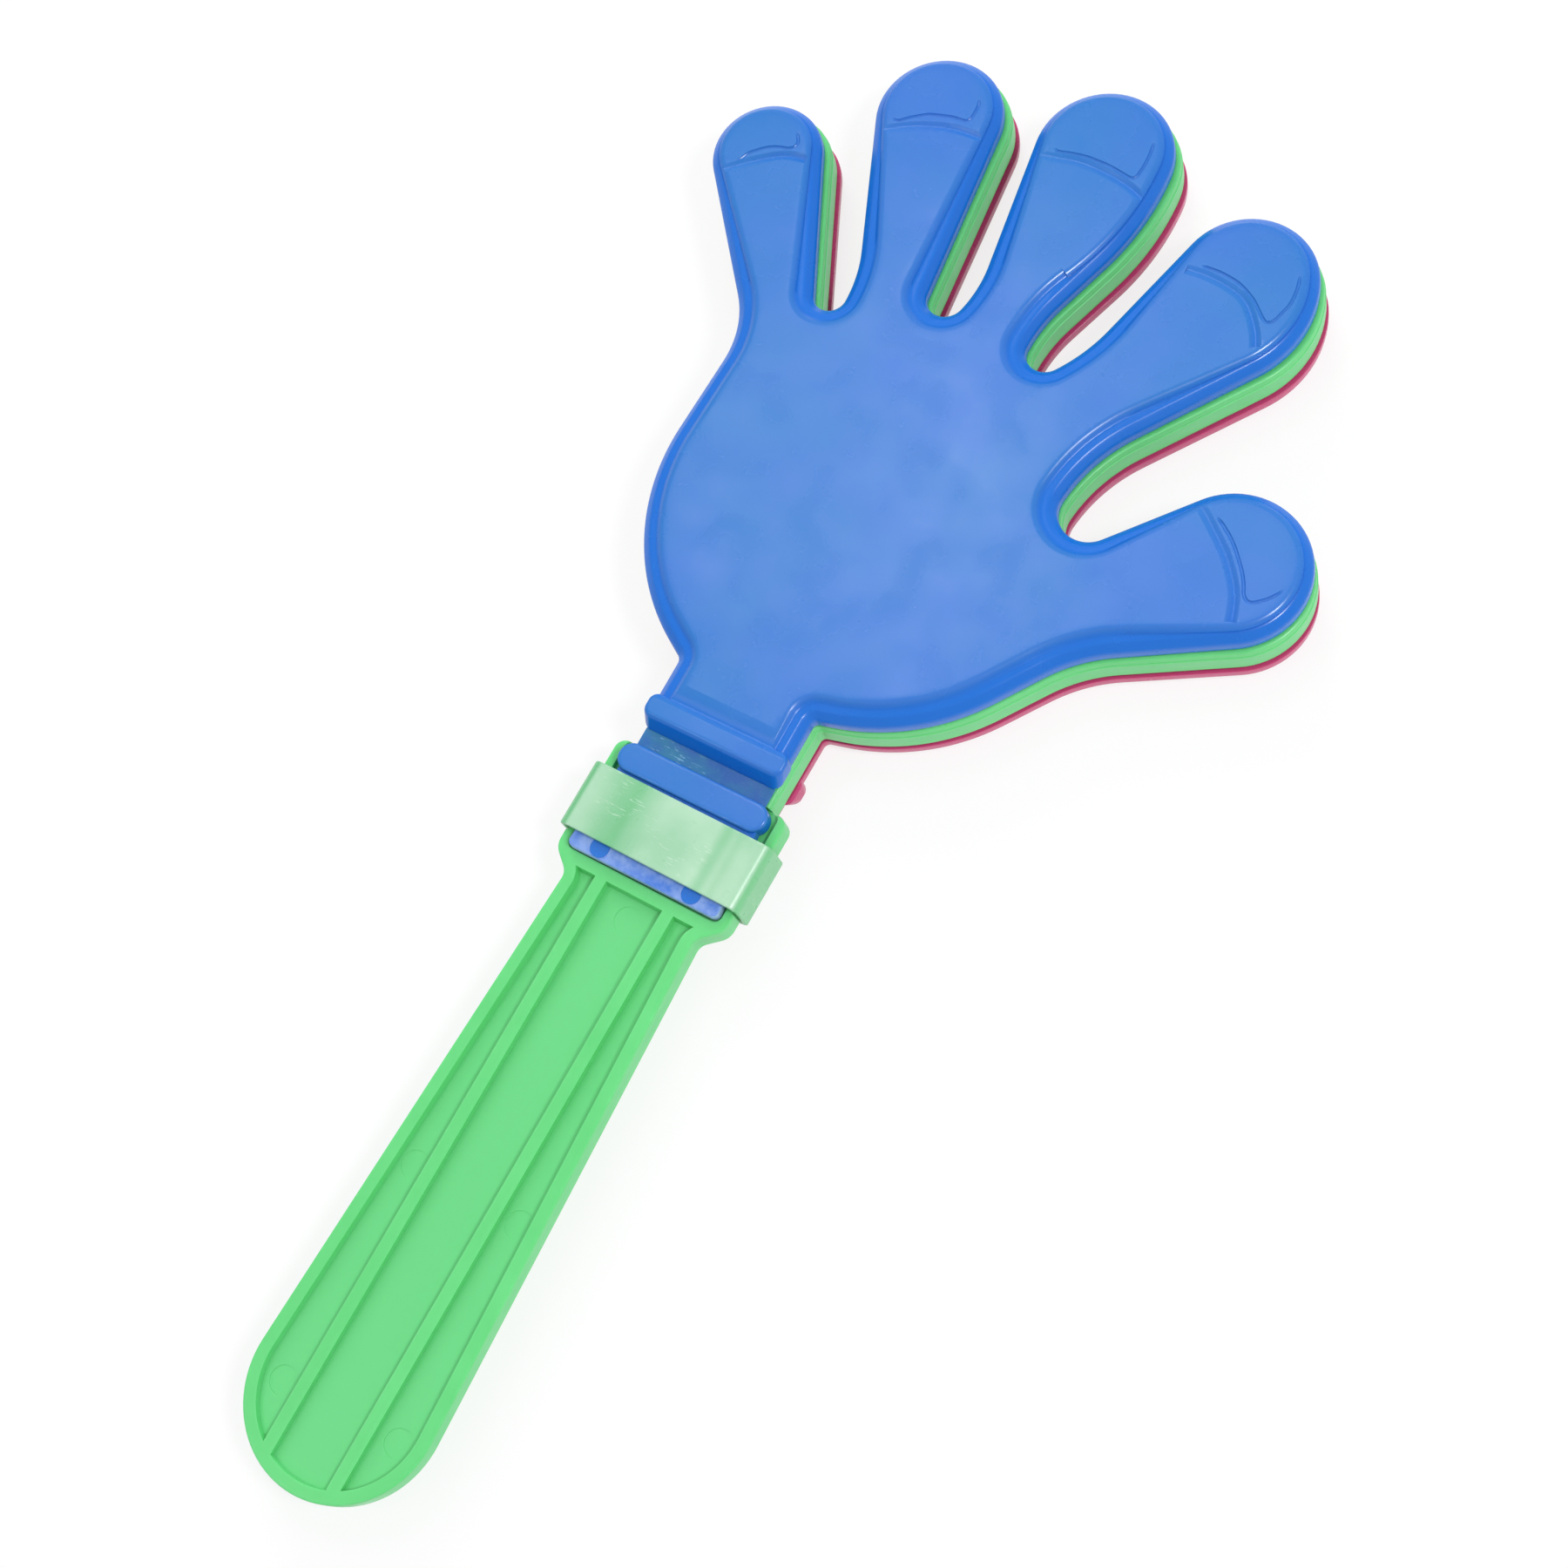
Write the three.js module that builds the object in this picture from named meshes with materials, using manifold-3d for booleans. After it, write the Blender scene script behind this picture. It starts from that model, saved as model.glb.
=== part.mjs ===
// Hand clapper: three flat plastic hands on one handle, lying on its back hand.
// Millimetres. X runs to the thumb side, Y to the fingertips, Z out of the front hand.
// While the pieces are made, Y = 0 is the line of the two living hinges and Z = 0 is
// the middle plane of the handle. The finished group is then set down on its rest face.

import * as THREE from 'three';
import { mergeVertices } from 'three/addons/utils/BufferGeometryUtils.js';
import Module from 'manifold-3d';

const wasm = await Module();
wasm.setup();

// Fits
const gap = 0.3; // between pieces that touch
const handGap = 0.5; // the closed outer hands stand this far off the middle hand
const reach = 1; // how far a cutter runs past the face that it cuts

// Thickness through the stack
const middleThickness = 6.2; // middle hand, face to face
const middleRim = 1.8; // wall round the middle hand
const middleFloor = 1.2; // plastic left between the recesses of the middle hand
const outerHeight = 4.5; // front and back hands, open side to plateau
const outerWall = 1.4; // side walls of the front and back hands
const outerTop = 1.8; // plastic under the plateau of the front and back hands
const headThickness = 4.8; // where the handle carries the feet and the band
const endThickness = 3.4; // round end of the handle
const handleFloor = 0.9; // plastic left between the channels of the handle

// Border of an outer hand: distance in from the outline, height over the open side
const lip = { inset: 0.2, height: 2.1 };
const shoulder = { inset: 1.1, height: 3 };
const ledge = { inset: 2, height: 3.3 };
const step = { inset: 3.3, height: 4.2 };
const plateauInset = 4;

// Neck of all three hands
const neckHalfWidth = 13.4;
const thumbSideFillet = 1;
const littleSideFillet = 1.6;
const thumbSideCornerY = 14.1;
const littleSideCornerY = 13.8;

// Round stretches of the hand from the thumb side of the neck to the little finger side.
// turn 1 is the outside of a finger or palm, turn -1 the bottom of a gap.
const palmThumbSide = { x: 7, y: 53.9, r: 39.4, turn: 1 };
const thumbRoot = { x: 67.6, y: 22.2, r: 28.4, turn: -1 };
const thumbTip = { x: 63.8, y: 68.5, r: 13.7, turn: 1 };
const thumbGap = { x: 37.9, y: 68, r: 5.4, turn: -1 };
const indexTip = { x: 42.4, y: 117, r: 12.5, turn: 1 };
const indexGap = { x: 17.1, y: 91.4, r: 3.5, turn: -1 };
const middleTip = { x: 8.1, y: 129.8, r: 12.7, turn: 1 };
const middleGap = { x: -4.1, y: 93.8, r: 3.4, turn: -1 };
const ringTip = { x: -23, y: 125.7, r: 11.8, turn: 1 };
const ringGap = { x: -23.6, y: 86.2, r: 2.9, turn: -1 };
const littleTip = { x: -48.6, y: 106.7, r: 10.4, turn: 1 };
const littleRoot = { x: -53.5, y: 67.9, r: 18.3, turn: -1 };
const palmLittleSide = { x: 3.9, y: 50.8, r: 39.8, turn: 1 };

// Thumb sides of two fingers: hollow where they run on from the gap, bellied below the tip
const indexHollow = { radius: 29.9, angle: -4.7 };
const indexBelly = { radius: 19.6, angle: 25.4 };
const middleHollow = { radius: 27.8, angle: 0.6 };
const middleBelly = { radius: 49.1, angle: 5.6 };

// Little finger sides of three fingers: hollow where they run down into the gap
const indexFlank = { radius: 31.1, angle: 144.1 };
const middleFlank = { radius: 23.3, angle: 166.2 };
const ringFlank = { radius: 26.7, angle: 181.7 };

// Valley across each finger, between its plateau and the pad with the nail.
// back is how far behind the centre of the tip it crosses, lean its angle from X.
const valleys = [
  { tip: thumbTip, back: 1.4, lean: -47 },
  { tip: indexTip, back: 3.6, lean: -21 },
  { tip: middleTip, back: 4, lean: 0 },
  { tip: ringTip, back: 1.8, lean: 21 },
  { tip: littleTip, back: 1.4, lean: 38 },
];
const valleyWidth = 2;
const valleyDepth = 1;
const valleyRadius = 22;

// Hinge: web, ridge on the hand and stop bar on the foot
const hingeHalf = 1.5; // from the hinge line to the ridge, and to the stop bar
const webThickness = 0.5;
const webHalfWidth = 12.9;
const ridgeDrop = 0.3; // the ridge ends this far below the plateau
const ridgeLean = 1.8; // its near face leans back this far over its height
const ridgeWidth = 3.8;
const ridgeHalfWidth = 13;
const ridgeBevel = 0.6;
const ridgeGroove = { width: 1.1, depth: 0.7 };
const stopWidth = 5.2;
const stopHeight = 1.1; // over the plate of the foot
const stopHalfWidth = 14.7;

// Foot, which lies loosely in a recess of the head
const footHalfWidth = 15;
const footLength = 20.7;
const footCorner = 1.2;
const footSidePlay = 0.5;
const recessFloor = 2.4; // plastic left between the front and the back recess
const frontTurn = 0.45; // degrees that the front moulding sits turned in its recess
const backTurn = -0.25;

// Head of the handle
const headHalfWidth = 17.1;
const headTopY = -1.4;
const headTopCorner = 2;
const headNeckFillet = 0.8;
const headFootY = -24.8;
const headFootCorner = 3.2;
const waistDepth = 0.5;

// Band
const bandWidth = 12.3;
const bandStartY = -7.3; // edge on the side of the hands
const bandWall = 1;
const bandSidePlay = 0.5;
const bandCorner = 3.4;

// Handle
const handleEndRadius = 17.3;
const handleEndY = -118.4;
const handleTopHalfWidth = 13.2;
const handleTopFillet = 2.5;
const handleTopFilletY = -27.6;
const handleRim = 2.2;
const channelTopY = -24.7;
const ribWidth = 2.2;
const ribOffset = 6.8; // centre of each rib from the middle of the handle

// Where the clapper rests
const restPointY = 54;

// Fineness of the round stretches
const arcStep = 14; // degrees
const arcChord = 5;

// Colours
const green = 0x6fdb8b;
const bandGreen = 0xa6d9b2;
const blue = 0x4a86de;
const pink = 0xdb5c94;

// Places that follow from the sizes
const outerBase = middleThickness / 2 + handGap;
const webBase = middleThickness / 2 + gap;
const plateauZ = outerBase + outerHeight;
const stopNearY = -hingeHalf;
const stopFarY = stopNearY - stopWidth;
const footEndY = stopNearY - footLength;
const footCentreY = (stopNearY + footEndY) / 2;
const footBase = recessFloor / 2 + gap;
const footTop = webBase + webThickness;
const stopZ = footTop + stopHeight;
const bandEndY = bandStartY - bandWidth;
const handleBottomY = handleEndY - handleEndRadius;
const bandInnerHalfWidth = headHalfWidth - waistDepth + bandSidePlay;
const bandInnerHalfHeight = footTop + gap;

const degrees = Math.PI / 180;

// Signed radius: outside of the path for a bulge, inside for a gap, less the inset
function signedRadius(arc, inset) {
  return arc.turn * arc.r - inset;
}

// Direction of the straight line that leaves one arc and meets the next
function tangentAngle(from, to, inset) {
  const dx = to.x - from.x;
  const dy = to.y - from.y;
  const rise = (signedRadius(to, inset) - signedRadius(from, inset)) / Math.hypot(dx, dy);
  return Math.atan2(dy, dx) - Math.asin(THREE.MathUtils.clamp(rise, -1, 1));
}

// Points of a path that runs counter-clockwise round arcs joined by their tangents.
// The same arcs with another inset give a parallel path with as many points.
function arcPath(arcs, startAngle, endAngle, inset = 0) {
  const points = [];
  let angle = startAngle;
  let plainAngle = startAngle;
  arcs.forEach((arc, index) => {
    const next = arcs[index + 1];
    let leave = next ? tangentAngle(arc, next, inset) : endAngle;
    let plainLeave = next ? tangentAngle(arc, next, 0) : endAngle;
    leave = turnedOn(leave, angle, arc.turn);
    plainLeave = turnedOn(plainLeave, plainAngle, arc.turn);
    const sweep = Math.abs(plainLeave - plainAngle);
    const pieces = Math.ceil(Math.max(sweep / (arcStep * degrees), (sweep * arc.r) / arcChord, 1));
    const radius = signedRadius(arc, inset);
    for (let piece = 0; piece <= pieces; piece += 1) {
      const at = angle + ((leave - angle) * piece) / pieces;
      const point = new THREE.Vector2(arc.x + radius * Math.sin(at), arc.y - radius * Math.cos(at));
      const last = points.at(-1);
      if (!last || last.distanceTo(point) > 1e-3) {
        points.push(point);
      }
    }
    angle = leave;
    plainAngle = plainLeave;
  });
  return points;
}

// The same direction, one turn on or back, so that the arc sweeps the way that it turns
function turnedOn(angle, from, turn) {
  const full = 2 * Math.PI;
  const sweep = THREE.MathUtils.euclideanModulo(turn * (angle - from), full);
  return from + turn * (full - sweep < 1e-6 ? 0 : sweep);
}

// A flatter arc that carries on the curve of a tip or gap from the given direction
function sideArc(arc, { radius, angle }) {
  const offset = arc.turn * (arc.r - radius);
  return {
    x: arc.x + offset * Math.cos(angle * degrees),
    y: arc.y + offset * Math.sin(angle * degrees),
    r: radius,
    turn: arc.turn,
  };
}

const handArcs = [
  { x: neckHalfWidth + thumbSideFillet, y: thumbSideCornerY, r: thumbSideFillet, turn: -1 },
  palmThumbSide,
  thumbRoot,
  thumbTip,
  thumbGap,
  sideArc(thumbGap, indexHollow),
  sideArc(indexTip, indexBelly),
  indexTip,
  sideArc(indexGap, indexFlank),
  indexGap,
  sideArc(indexGap, middleHollow),
  sideArc(middleTip, middleBelly),
  middleTip,
  sideArc(middleGap, middleFlank),
  middleGap,
  ringTip,
  sideArc(ringGap, ringFlank),
  ringGap,
  littleTip,
  littleRoot,
  palmLittleSide,
  { x: -neckHalfWidth - littleSideFillet, y: littleSideCornerY, r: littleSideFillet, turn: -1 },
];

// Outline of a hand, cut off square across its neck at endY
function handOutline(inset, endY) {
  const points = arcPath(handArcs, 90 * degrees, 270 * degrees, inset);
  points.unshift(new THREE.Vector2(neckHalfWidth - inset, endY));
  points.push(new THREE.Vector2(-neckHalfWidth + inset, endY));
  return points;
}

const handleEndArc = { x: 0, y: handleEndY, r: handleEndRadius, turn: 1 };
const handleTopArc = {
  x: -handleTopHalfWidth - handleTopFillet,
  y: handleTopFilletY,
  r: handleTopFillet,
  turn: -1,
};

function mirroredInX(arc) {
  return { ...arc, x: -arc.x };
}

// Outline of the head and handle, from the neck down one side and up the other
function handleOutline() {
  const down = [
    { x: -neckHalfWidth - headNeckFillet, y: headTopY + headNeckFillet, r: headNeckFillet, turn: -1 },
    { x: headTopCorner - headHalfWidth, y: headTopY - headTopCorner, r: headTopCorner, turn: 1 },
    { x: headFootCorner - headHalfWidth, y: headFootY + headFootCorner, r: headFootCorner, turn: 1 },
    handleTopArc,
  ];
  const up = down.map(mirroredInX).reverse();
  const points = arcPath([...down, handleEndArc, ...up], -90 * degrees, 90 * degrees);
  points.unshift(new THREE.Vector2(-neckHalfWidth, hingeHalf));
  points.push(new THREE.Vector2(neckHalfWidth, hingeHalf));
  return points;
}

// A closed geometry becomes a solid once its shared vertices are merged
function solidOf(geometry) {
  const bare = geometry.clone();
  bare.deleteAttribute('normal');
  bare.deleteAttribute('uv');
  const merged = mergeVertices(bare, 1e-5);
  return new wasm.Manifold(new wasm.Mesh({
    numProp: 3,
    vertProperties: new Float32Array(merged.attributes.position.array),
    triVerts: new Uint32Array(merged.index.array),
  }));
}

function plate(points, low, high) {
  const shape = new THREE.Shape(points);
  const geometry = new THREE.ExtrudeGeometry(shape, { depth: high - low, bevelEnabled: false });
  return solidOf(geometry.translate(0, 0, low));
}

function block(x0, x1, y0, y1, z0, z1) {
  const geometry = new THREE.BoxGeometry(x1 - x0, y1 - y0, z1 - z0);
  return solidOf(geometry.translate((x0 + x1) / 2, (y0 + y1) / 2, (z0 + z1) / 2));
}

// A bar across the neck with the given section in Y and Z
function crossBar(section, halfWidth) {
  const shape = new THREE.Shape(section.map(([y, z]) => new THREE.Vector2(y, z)));
  const geometry = new THREE.ExtrudeGeometry(shape, { depth: 2 * halfWidth, bevelEnabled: false });
  geometry.rotateY(Math.PI / 2).rotateX(Math.PI / 2);
  return solidOf(geometry.translate(-halfWidth, 0, 0));
}

function roundedBox(halfWidth, low, high, corner) {
  const arcs = [
    { x: corner - halfWidth, y: low + corner, r: corner, turn: 1 },
    { x: halfWidth - corner, y: low + corner, r: corner, turn: 1 },
    { x: halfWidth - corner, y: high - corner, r: corner, turn: 1 },
    { x: corner - halfWidth, y: high - corner, r: corner, turn: 1 },
  ];
  return arcPath(arcs, -90 * degrees, -90 * degrees);
}

// A closed skin over parallel outlines, lowest first, with flat ends
function stackedSolid(levels) {
  const count = levels[0].points.length;
  const positions = levels.flatMap(({ points, z }) => points.flatMap((point) => [point.x, point.y, z]));
  const indices = [];
  for (let level = 0; level + 1 < levels.length; level += 1) {
    for (let here = 0; here < count; here += 1) {
      const next = (here + 1) % count;
      const low = level * count;
      const high = low + count;
      indices.push(low + here, low + next, high + next, low + here, high + next, high + here);
    }
  }
  const top = (levels.length - 1) * count;
  THREE.ShapeUtils.triangulateShape(levels[0].points, []).forEach(([a, b, c]) => indices.push(c, b, a));
  THREE.ShapeUtils.triangulateShape(levels.at(-1).points, []).forEach(([a, b, c]) => {
    indices.push(top + a, top + b, top + c);
  });
  const geometry = new THREE.BufferGeometry();
  geometry.setAttribute('position', new THREE.Float32BufferAttribute(positions, 3));
  geometry.setIndex(indices);
  return solidOf(geometry);
}

function geometryOf(solid) {
  const { numProp, vertProperties, triVerts } = solid.getMesh();
  const geometry = new THREE.BufferGeometry();
  geometry.setAttribute('position', new THREE.BufferAttribute(vertProperties, numProp));
  geometry.setIndex(new THREE.BufferAttribute(triVerts, 1));
  geometry.computeVertexNormals();
  return geometry;
}

function named(name, solid, colour, roughness) {
  const material = new THREE.MeshStandardMaterial({ color: colour, roughness, metalness: 0 });
  const mesh = new THREE.Mesh(geometryOf(solid), material);
  mesh.name = name;
  return mesh;
}

function mirroredInZ(solid) {
  return solid.mirror([0, 0, 1]);
}

function onBothFaces(solid) {
  return solid.add(mirroredInZ(solid));
}

// Valley across one finger, a bent bar that sinks into its plateau
function valleyCutter({ tip, back, lean }) {
  const across = tip.r + reach;
  const spread = Math.asin(across / valleyRadius);
  const inner = valleyRadius - valleyWidth / 2;
  const outer = valleyRadius + valleyWidth / 2;
  const shape = new THREE.Shape();
  shape.absarc(0, 0, outer, Math.PI / 2 - spread, Math.PI / 2 + spread, false);
  shape.absarc(0, 0, inner, Math.PI / 2 + spread, Math.PI / 2 - spread, true);
  const depth = valleyDepth + reach;
  const geometry = new THREE.ExtrudeGeometry(shape, { depth, bevelEnabled: false, curveSegments: 5 });
  geometry.translate(0, -valleyRadius - back, plateauZ - valleyDepth);
  geometry.rotateZ(lean * degrees);
  return solidOf(geometry.translate(tip.x, tip.y, 0));
}

// Front hand: a shell that is open towards the middle hand, with the ridge on its neck
function outerHand() {
  const ridgeNearY = hingeHalf;
  const ridgeTopY = ridgeNearY + ridgeLean;
  const ridgeEndY = ridgeTopY + ridgeWidth;
  const ridgeZ = plateauZ - ridgeDrop;
  const borderStart = ridgeEndY - reach;
  const levels = [
    { inset: 0, height: 0 },
    lip,
    shoulder,
    ledge,
    step,
    { inset: plateauInset, height: outerHeight },
  ];
  const skin = stackedSolid(levels.map(({ inset, height }) => ({
    points: handOutline(inset, borderStart),
    z: outerBase + height,
  })));
  const ridge = crossBar([
    [ridgeNearY, outerBase],
    [ridgeEndY, outerBase],
    [ridgeEndY, ridgeZ - ridgeBevel],
    [ridgeEndY - ridgeBevel, ridgeZ],
    [ridgeTopY + ridgeBevel, ridgeZ],
    [ridgeTopY, ridgeZ - ridgeBevel],
  ], ridgeHalfWidth);
  const groove = block(
    -neckHalfWidth - reach, neckHalfWidth + reach,
    ridgeEndY, ridgeEndY + ridgeGroove.width,
    plateauZ - ridgeGroove.depth, plateauZ + reach,
  );
  const hollowStart = ridgeEndY + ridgeGroove.width + outerWall;
  const hollow = stackedSolid([
    { points: handOutline(outerWall, hollowStart), z: outerBase - reach },
    { points: handOutline(outerWall + lip.inset, hollowStart), z: outerBase + lip.height },
    { points: handOutline(plateauInset, hollowStart), z: plateauZ - outerTop },
  ]);
  let hand = skin.subtract(groove).add(ridge).subtract(hollow);
  valleys.forEach((valley) => {
    hand = hand.subtract(valleyCutter(valley));
  });
  return hand;
}

function hingeWeb() {
  const halfLength = hingeHalf - gap;
  return block(-webHalfWidth, webHalfWidth, -halfLength, halfLength, webBase, footTop);
}

// Foot: a plate in the recess of the head, with the stop bar at its near end
function foot() {
  const base = plate(roundedBox(footHalfWidth, footEndY, stopNearY, footCorner), footBase, footTop);
  const barCorner = stopWidth / 2 - 0.01;
  const bar = plate(roundedBox(stopHalfWidth, stopFarY, stopNearY, barCorner), footBase, stopZ);
  return base.add(bar);
}

// Half thickness of the handle, which thins evenly from the head to the round end
function handleHalfThickness(y) {
  const share = THREE.MathUtils.clamp((channelTopY - y) / (channelTopY - handleBottomY), 0, 1);
  return THREE.MathUtils.lerp(headThickness, endThickness, share) / 2;
}

function thinnedPlate(points) {
  return plate(points, -1, 1).warp((vertex) => {
    vertex[2] *= handleHalfThickness(vertex[1]);
  });
}

// Outline of the hollow in the handle, whose floor carries the two ribs
function channelOutline() {
  const angle = Math.acos((channelTopY - handleTopFilletY) / (handleTopFillet + handleRim));
  const arcs = [handleTopArc, handleEndArc, mirroredInX(handleTopArc)];
  return arcPath(arcs, -angle, angle, handleRim);
}

function headAndHandle() {
  const outline = handleOutline();
  const far = handleEndRadius * 2;
  const below = block(-far, far, handleEndY - far, channelTopY, -far, far);
  const head = plate(outline, -headThickness / 2, headThickness / 2).subtract(below);
  const overlap = reach / 2;
  const handleSide = block(-far, far, handleEndY - far, channelTopY + overlap, -far, far);
  const handle = thinnedPlate(outline).intersect(handleSide);
  const inside = plate(channelOutline(), handleFloor / 2, far);
  const ribs = [-ribOffset, ribOffset].map((x) => (
    block(x - ribWidth / 2, x + ribWidth / 2, handleEndY - far, channelTopY + reach, 0, far + reach)
  ));
  const channels = onBothFaces(inside.subtract(ribs[0]).subtract(ribs[1]));
  const recess = plate(
    roundedBox(footHalfWidth + footSidePlay, footEndY - gap, stopNearY + gap, footCorner + gap),
    recessFloor / 2,
    far,
  );
  const waistX = headHalfWidth - waistDepth;
  const waistFrom = bandEndY - gap;
  const waistTo = bandStartY + gap;
  const waist = block(waistX, far, waistFrom, waistTo, -far, far);
  return head.add(handle).subtract(channels).subtract(onBothFaces(recess))
    .subtract(waist).subtract(waist.mirror([1, 0, 0]));
}

function middleHand() {
  const neckEndY = stopNearY + gap;
  const half = middleThickness / 2;
  const body = plate(handOutline(0, neckEndY), -half, half);
  const recess = plate(handOutline(middleRim, hingeHalf + middleRim * 2), middleFloor / 2, half + reach);
  return body.subtract(onBothFaces(recess));
}

// Band: a flat loop round the waist of the head and both feet
function band() {
  const outerHalfWidth = bandInnerHalfWidth + bandWall;
  const outerHalfHeight = bandInnerHalfHeight + bandWall;
  const innerCorner = bandCorner - bandWall;
  const outer = roundedBox(outerHalfWidth, -outerHalfHeight, outerHalfHeight, bandCorner);
  const inner = roundedBox(bandInnerHalfWidth, -bandInnerHalfHeight, bandInnerHalfHeight, innerCorner);
  const shape = new THREE.Shape(outer);
  shape.holes.push(new THREE.Path(inner));
  const geometry = new THREE.ExtrudeGeometry(shape, { depth: bandWidth, bevelEnabled: false });
  return solidOf(geometry.rotateX(Math.PI / 2).translate(0, bandStartY, 0));
}

// An outer moulding sits a little turned about the middle of its foot
function inRecess(meshes, turn) {
  const moulding = new THREE.Group();
  moulding.position.y = -footCentreY;
  moulding.add(...meshes);
  const seat = new THREE.Group();
  seat.position.y = footCentreY;
  seat.rotation.z = turn * degrees;
  seat.add(moulding);
  return seat;
}

const handSolid = outerHand();
const webSolid = hingeWeb();
const footSolid = foot();

const clapper = new THREE.Group();
clapper.add(named('handle_and_middle_hand', headAndHandle().add(middleHand()), green, 0.4));
clapper.add(named('retaining_band', band(), bandGreen, 0.3));
clapper.add(inRecess([
  named('front_hand', handSolid, blue, 0.3),
  named('front_hinge_web', webSolid, blue, 0.3),
  named('front_foot', footSolid, blue, 0.3),
], frontTurn));
clapper.add(inRecess([
  named('back_hand', mirroredInZ(handSolid), pink, 0.3),
  named('back_hinge_web', mirroredInZ(webSolid), pink, 0.3),
  named('back_foot', mirroredInZ(footSolid), pink, 0.3),
], backTurn));
clapper.position.set(0, -restPointY, plateauZ);

export default clapper;
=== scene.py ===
import math

import bmesh
import bpy
from mathutils import Matrix, Vector


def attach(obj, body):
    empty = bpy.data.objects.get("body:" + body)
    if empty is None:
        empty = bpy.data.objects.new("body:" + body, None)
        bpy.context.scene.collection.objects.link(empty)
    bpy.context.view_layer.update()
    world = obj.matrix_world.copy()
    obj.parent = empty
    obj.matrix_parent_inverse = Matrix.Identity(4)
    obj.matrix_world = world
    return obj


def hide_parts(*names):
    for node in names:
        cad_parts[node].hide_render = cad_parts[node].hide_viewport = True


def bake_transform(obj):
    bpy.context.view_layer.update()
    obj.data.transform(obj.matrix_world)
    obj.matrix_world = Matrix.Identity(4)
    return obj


print("Loading the packed clapper")
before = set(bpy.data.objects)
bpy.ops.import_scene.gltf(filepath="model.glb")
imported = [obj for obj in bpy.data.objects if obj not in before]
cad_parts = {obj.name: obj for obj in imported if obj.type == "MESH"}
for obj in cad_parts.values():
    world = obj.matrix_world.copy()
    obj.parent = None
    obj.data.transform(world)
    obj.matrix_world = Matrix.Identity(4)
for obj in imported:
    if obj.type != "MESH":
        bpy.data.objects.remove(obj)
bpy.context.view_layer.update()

mm = 0.001
# The pieces are modelled with the hinge line at Y = 0 and the middle of the handle at
# Z = 0, and are then set down where the clapper rests.
setDown = Vector((0, -54, 8.1)) * mm


# Camera, light and floor

view = {
    "place": (0.160226, -0.129403, 0.416538),
    "tilt": (18.9491, 12.1001, 30.2925),  # degrees
    "lens": 60,  # mm, as is the sensor's width
    "sensor": 36,
    "nearest": 0.01,  # metres
}
bpy.ops.object.camera_add(location=view["place"], rotation=[math.radians(a) for a in view["tilt"]])
camera = bpy.context.object
camera.data.lens = view["lens"]
camera.data.sensor_width = view["sensor"]
camera.data.clip_start = view["nearest"]
bpy.context.scene.camera = camera

light = {
    # Place, width, length, turn about its own axis and power of each soft box.
    # The three sheen boxes stand where the palm mirrors them to the camera.
    "key": ((-0.72, 0.8, 0.62), 0.6, 0.6, 0, 5.5),
    "rightFill": ((0.62, 0.02, 0.86), 0.2, 0.2, 0, 4.4),
    "sheenBroad": ((-0.24, 0.29, 0.82), 0.36, 0.26, -21, 0.4),
    "sheenRight": ((-0.275, 0.284, 0.82), 0.05, 0.25, -21, 0.2),
    "sheenLeft": ((-0.384, 0.212, 0.82), 0.05, 0.2, -21, 0.1),
    "frontFill": ((-0.35, -0.45, 0.82), 0.14, 0.14, 0, 0.4),
    "roomStrength": 0.55,
}
# What the paper gives off by itself: to the pieces, and to the camera and mirrored views
paperLook = {"size": 3, "colour": "#fcfcfc", "roughness": 0.9, "glow": 0.3, "white": 0.8}


def addSoftBox(name, place, width, length, turn, power):
    bpy.ops.object.light_add(type="AREA", location=place)
    lamp = bpy.context.object
    lamp.name = name
    lamp.data.shape = "RECTANGLE"
    lamp.data.size = width
    lamp.data.size_y = length
    lamp.data.energy = power
    aim = (-Vector(place)).to_track_quat("-Z", "Y").to_matrix()
    lamp.rotation_euler = (aim @ Matrix.Rotation(math.radians(turn), 3, "Z")).to_euler()
    return lamp


key = addSoftBox("key", *light["key"])
key.visible_glossy = False  # it lights the faces but draws no glint along the far edges
for name in ("rightFill", "frontFill", "sheenBroad", "sheenRight", "sheenLeft"):
    addSoftBox(name, *light[name])


def addNode(material, kind, inputs=None, **settings):
    # Adds one node; an input takes a value or the socket that feeds it
    node = material.node_tree.nodes.new(kind)
    for name, value in settings.items():
        setattr(node, name, value)
    for name, value in (inputs or {}).items():
        if isinstance(value, bpy.types.NodeSocket):
            material.node_tree.links.new(value, node.inputs[name])
        else:
            node.inputs[name].default_value = value
    return node


def linearColour(hexCode):
    parts = [int(hexCode[i:i + 2], 16) / 255 for i in (1, 3, 5)]
    return [p / 12.92 if p <= 0.04045 else ((p + 0.055) / 1.055) ** 2.4 for p in parts] + [1]


world = bpy.data.worlds.new("paleRoom")
world.use_nodes = True
bpy.context.scene.world = world
world.node_tree.nodes["Background"].inputs["Color"].default_value = (1, 1, 1, 1)
world.node_tree.nodes["Background"].inputs["Strength"].default_value = light["roomStrength"]
bpy.context.scene.view_settings.view_transform = "Standard"

bpy.ops.object.select_all(action="DESELECT")
bpy.ops.mesh.primitive_plane_add(size=paperLook["size"], location=(0, 0, 0))
floor = bpy.context.object
floor.name = "floor"
paper = bpy.data.materials.new("whitePaperSweep")
paper.use_nodes = True
paperShader = paper.node_tree.nodes["Principled BSDF"]
paperShader.inputs["Base Color"].default_value = linearColour(paperLook["colour"])
paperShader.inputs["Roughness"].default_value = paperLook["roughness"]
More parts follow.
